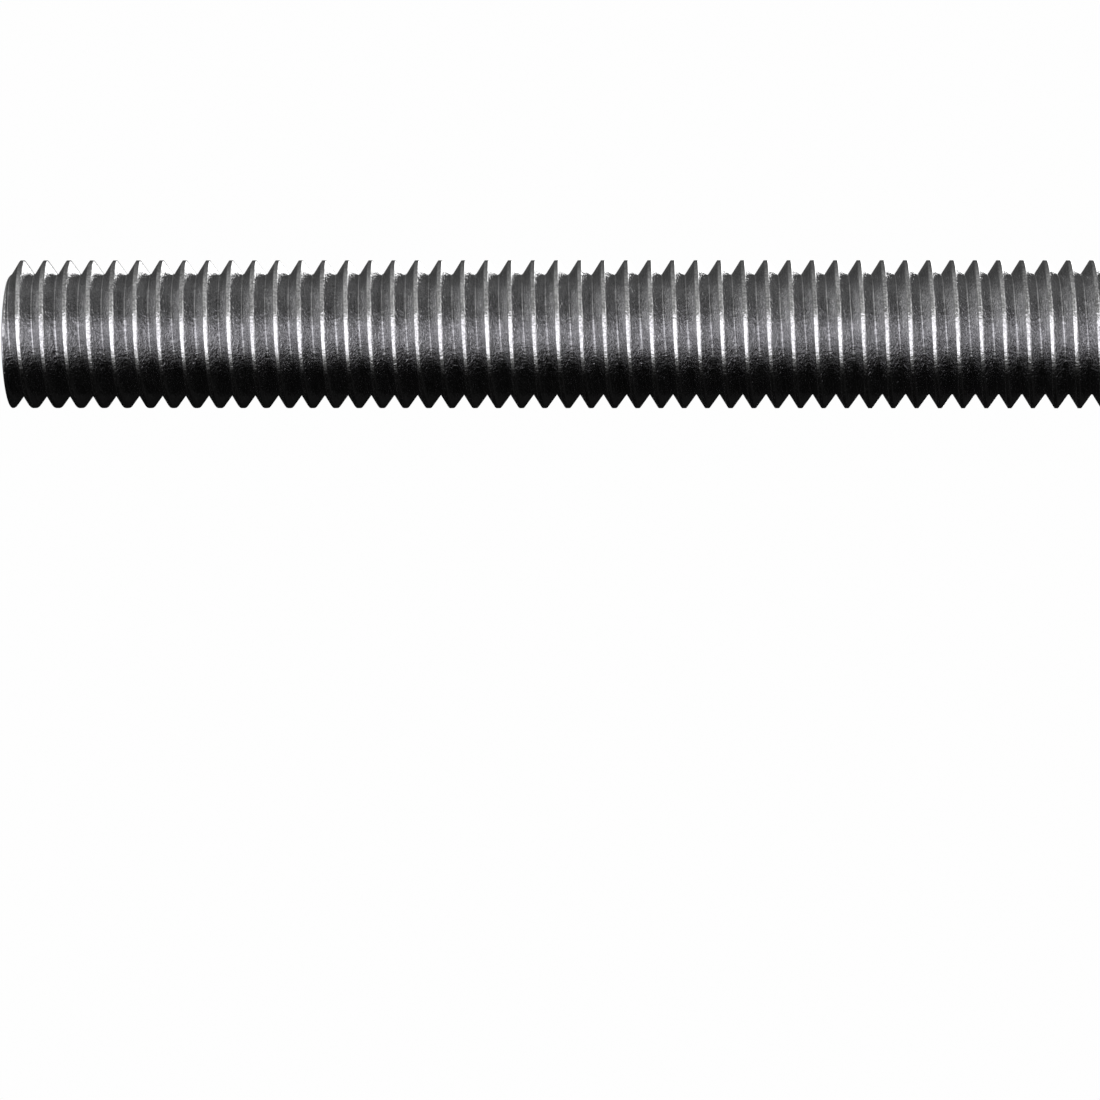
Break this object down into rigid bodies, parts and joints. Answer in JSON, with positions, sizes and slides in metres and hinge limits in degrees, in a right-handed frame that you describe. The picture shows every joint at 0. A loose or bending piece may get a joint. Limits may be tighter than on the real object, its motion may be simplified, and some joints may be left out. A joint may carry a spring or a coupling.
{
  "type": "threaded rod",
  "caption": "Straight steel rod with a right-hand external screw thread from end to end and square sawn ends, for clamping, hanging and joining parts with nuts.",
  "frame": {"origin": "centre of the lower end face, on the surface that the rod stands on", "axes": "+Z up along the rod's axis from the lower end to the upper end; +X is up in the picture's view and -Y points to its camera"},
  "size_m": [0.008, 0.008, 0.1],
  "materials": {
    "rod_steel": "bright rolled steel, a soft sheen on the crests and fine drawing lines along the thread"
  },
  "bodies": {
    "root": {"threaded_rod": "rod_steel"}
  },
  "joints": []
}
